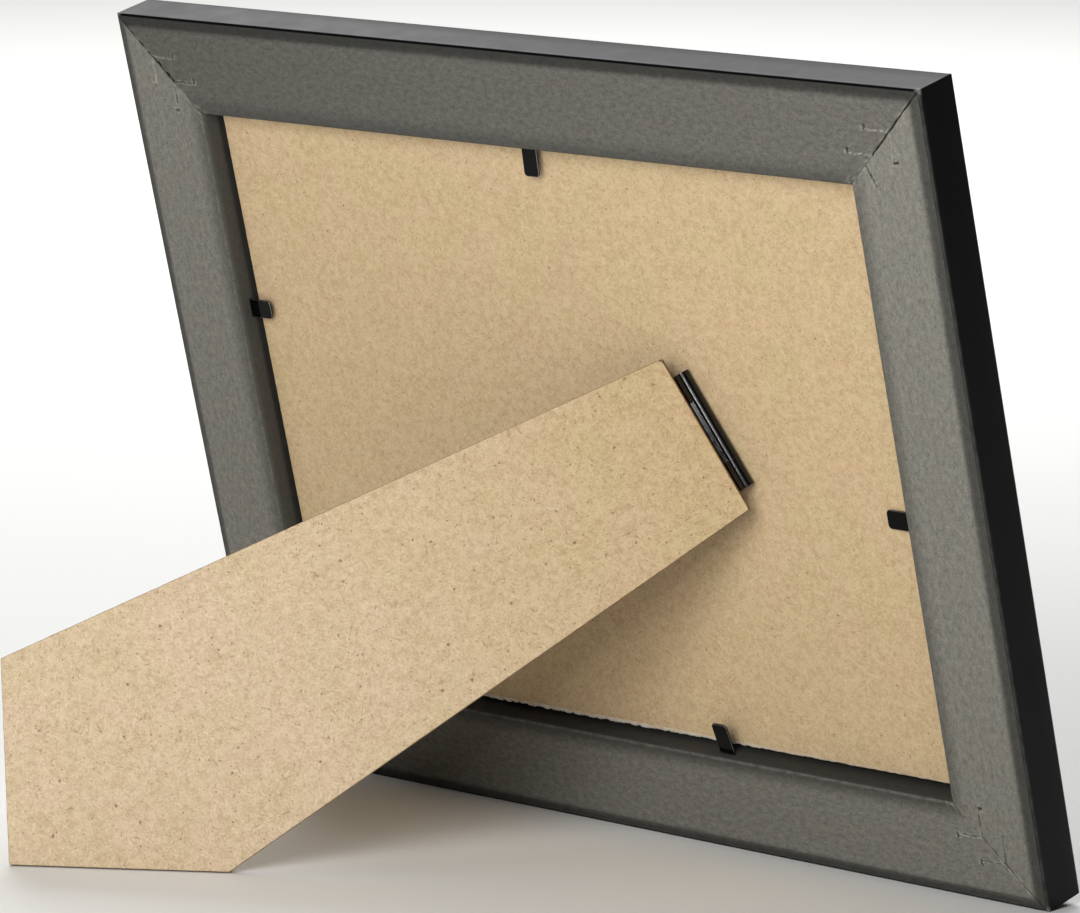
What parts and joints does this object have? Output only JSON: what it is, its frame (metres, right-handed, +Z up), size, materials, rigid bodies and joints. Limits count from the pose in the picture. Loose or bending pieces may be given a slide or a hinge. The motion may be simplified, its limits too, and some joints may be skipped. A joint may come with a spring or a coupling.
{
  "type": "easel back photo frame",
  "caption": "Rectangular photo frame of dark mitred moulding with a fibreboard back, steel retaining tabs and a hinged easel strut that stands it on either side.",
  "frame": {"origin": "on the table, in the middle of the space that the standing frame covers", "axes": "+Z up, +X along the frame's long side to the right as seen from the front, the picture faces -Y and the strut stands towards +Y"},
  "size_m": [0.227, 0.1269, 0.1719],
  "materials": {
    "moulding": "fibreboard moulding wrapped in black satin foil, back coated grey",
    "board": "raw thin fibreboard",
    "strut": "raw thin fibreboard",
    "glass": "clear float glass",
    "insert_paper": "plain matt paper",
    "hinge_steel": "black lacquered pressed steel",
    "pin_steel": "drawn steel wire",
    "tab_steel": "black lacquered spring steel",
    "nail_steel": "plain steel strip"
  },
  "bodies": {
    "frame": {"bottom_rail": "moulding", "left_rail": "moulding", "top_rail": "moulding", "right_rail": "moulding", "bottom_left_nails": "nail_steel", "top_left_nails": "nail_steel", "top_right_nails": "nail_steel", "bottom_right_nails": "nail_steel", "bottom_tab_root": "tab_steel", "left_tab_root": "tab_steel", "top_tab_root": "tab_steel", "right_tab_root": "tab_steel", "glass": "glass", "paper_insert": "insert_paper", "backing_board": "board", "hinge_board_leaf": "hinge_steel", "hinge_pin": "pin_steel"},
    "strut": {"easel_strut": "strut", "hinge_strut_leaf": "hinge_steel"},
    "bottom_tab": {"bottom_tab_blade": "tab_steel"},
    "left_tab": {"left_tab_blade": "tab_steel"},
    "top_tab": {"top_tab_blade": "tab_steel"},
    "right_tab": {"right_tab_blade": "tab_steel"}
  },
  "joints": [
    {"name": "strut_fold", "type": "hinge", "parent": "frame", "child": "strut", "pos_m": [-0.04096, -0.03283, 0.09286], "axis": [0.4909, 0.2137, 0.8446], "range_deg": [-39.6, 0]},
    {"name": "bottom_tab_bend", "type": "hinge", "parent": "frame", "child": "bottom_tab", "pos_m": [-0.02996, -0.04951, 0.02147], "axis": [-1, 0, 0], "range_deg": [-11, 79]},
    {"name": "left_tab_bend", "type": "hinge", "parent": "frame", "child": "left_tab", "pos_m": [-0.09166, -0.03728, 0.07888], "axis": [0, 0.2453, 0.9694], "range_deg": [0, 90]},
    {"name": "top_tab_bend", "type": "hinge", "parent": "frame", "child": "top_tab", "pos_m": [-0.00227, -0.01829, 0.14902], "axis": [1, 0, 0], "range_deg": [-4, 86]},
    {"name": "right_tab_bend", "type": "hinge", "parent": "frame", "child": "right_tab", "pos_m": [0.09166, -0.02964, 0.10547], "axis": [0, -0.2453, -0.9694], "range_deg": [0, 90]}
  ]
}
